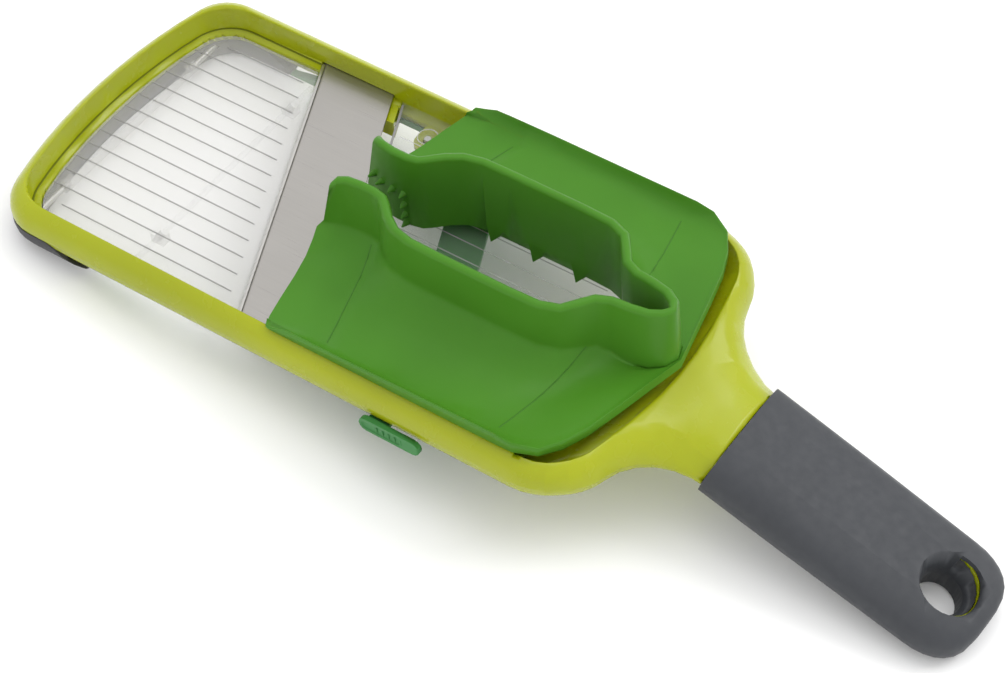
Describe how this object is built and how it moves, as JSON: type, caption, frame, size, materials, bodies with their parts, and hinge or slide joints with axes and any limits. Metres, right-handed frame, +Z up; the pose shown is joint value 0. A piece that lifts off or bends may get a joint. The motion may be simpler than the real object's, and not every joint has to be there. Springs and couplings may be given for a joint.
{
  "type": "mandoline slicer",
  "caption": "Hand-held mandoline slicer: framed tray on a drooping handle, tilting ridged runway, skewed blade, side adjuster tab and a sliding food grip.",
  "frame": {"origin": "centre of the bounding box at table level", "axes": "+X from the front foot to the handle, +Y across the rails away from the adjuster tab, +Z up from the table"},
  "size_m": [0.3612, 0.1262, 0.0726],
  "materials": {
    "lime_plastic": "glossy moulded",
    "soft_grey": "soft-touch matte",
    "foot_rubber": "matte",
    "satin_steel": "satin",
    "clear_plastic": "clear, polished",
    "green_plastic": "satin moulded",
    "dark_green_plastic": "satin moulded",
    "zinc_screw": "zinc plated"
  },
  "bodies": {
    "frame_body": {"frame": "lime_plastic", "handle_sleeve": "soft_grey", "front_foot": "foot_rubber", "blade": "satin_steel", "landing_plate": "clear_plastic", "hinge_pin_near": "satin_steel", "hinge_pin_far": "satin_steel", "detent_spring": "satin_steel", "spring_screw_1": "zinc_screw", "blade_screw_1": "zinc_screw", "blade_screw_2": "zinc_screw", "blade_screw_3": "zinc_screw", "blade_screw_4": "zinc_screw", "landing_screw_1": "zinc_screw", "landing_screw_2": "zinc_screw", "landing_screw_3": "zinc_screw", "landing_screw_4": "zinc_screw"},
    "runway": {"runway_plate": "clear_plastic", "lift_rod": "satin_steel"},
    "adjuster": {"adjuster_slide": "dark_green_plastic", "adjuster_tab": "dark_green_plastic"},
    "grip": {"food_grip": "green_plastic"}
  },
  "joints": [
    {"name": "adjuster_slide_joint", "type": "slide", "parent": "frame_body", "child": "adjuster", "axis": [0.9933, 0, 0.1155], "range_m": [0, 0.012]},
    {"name": "runway_tilt", "type": "hinge", "parent": "frame_body", "child": "runway", "pos_m": [-0.1653, 0.00112, 0.00509], "axis": [0, 1, 0], "range_deg": [0, 3.4]},
    {"name": "grip_slide", "type": "slide", "parent": "frame_body", "child": "grip", "axis": [-0.9933, 0, -0.1155], "range_m": [0, 0.1]}
  ],
  "couplings": [
    {"joint": "runway_tilt", "follows": "adjuster_slide_joint", "rad_per_m": 4.9446}
  ]
}
